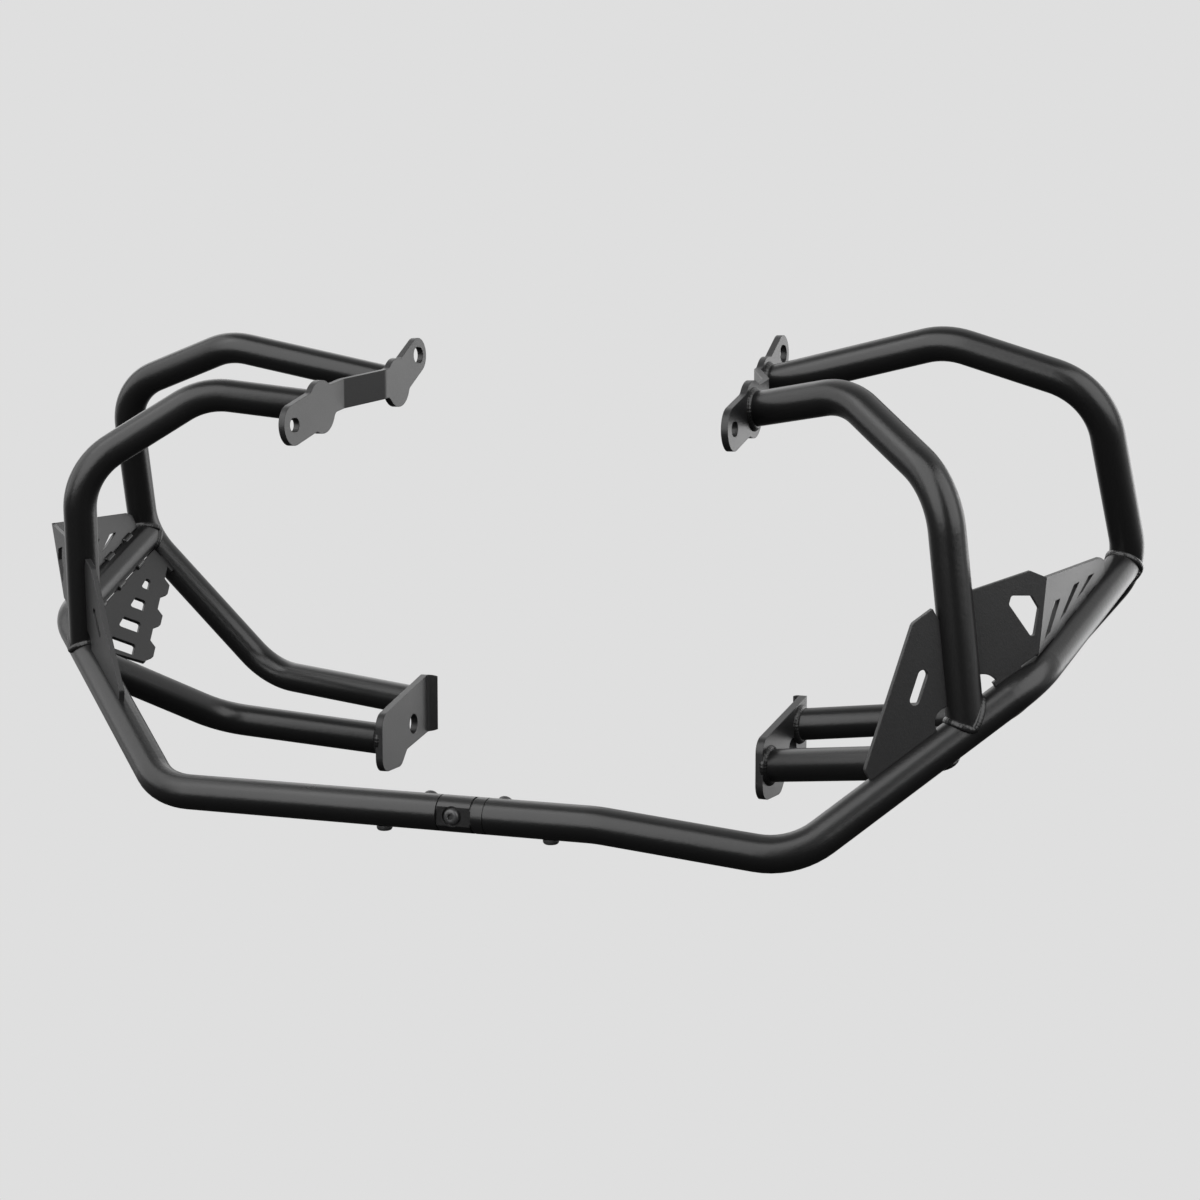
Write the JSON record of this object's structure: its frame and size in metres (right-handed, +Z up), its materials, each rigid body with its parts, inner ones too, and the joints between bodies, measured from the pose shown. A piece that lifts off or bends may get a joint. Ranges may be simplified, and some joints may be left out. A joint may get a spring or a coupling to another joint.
{
  "type": "motorcycle crash bars",
  "caption": "Welded tube crash bars that wrap round both sides of a motorcycle engine, with slotted and bored mounting brackets, sheet side guards and a bolted coupling below.",
  "frame": {"origin": "on the middle plane of the motorcycle, on the axis of the two lower bracket holes", "axes": "+X to the right of the picture, across the motorcycle and along the lower bolt axis; +Y to the motorcycle's rear, away from the camera; +Z up"},
  "size_m": [0.862, 0.3596, 0.3563],
  "materials": {
    "tube_coat": "satin",
    "plate_coat": "satin",
    "coupling_coat": "satin",
    "screw_black": "matte"
  },
  "bodies": {
    "root": {"left_hoop_tube": "tube_coat", "left_front_upright": "tube_coat", "left_rear_tube": "tube_coat", "left_lower_strut": "tube_coat", "left_upper_bracket": "plate_coat", "left_lower_bracket": "plate_coat", "left_front_gusset": "plate_coat", "left_upper_side_guard": "plate_coat", "left_lower_side_guard": "plate_coat", "left_weld_beads": "tube_coat", "right_hoop_tube": "tube_coat", "right_front_upright": "tube_coat", "right_rear_tube": "tube_coat", "right_lower_strut": "tube_coat", "right_upper_bracket": "plate_coat", "right_lower_bracket": "plate_coat", "right_front_gusset": "plate_coat", "right_upper_side_guard": "plate_coat", "right_lower_side_guard": "plate_coat", "right_weld_beads": "tube_coat", "coupling_socket": "coupling_coat", "coupling_tongue": "coupling_coat", "coupling_screw": "screw_black", "fixing_screws": "screw_black"}
  },
  "joints": []
}
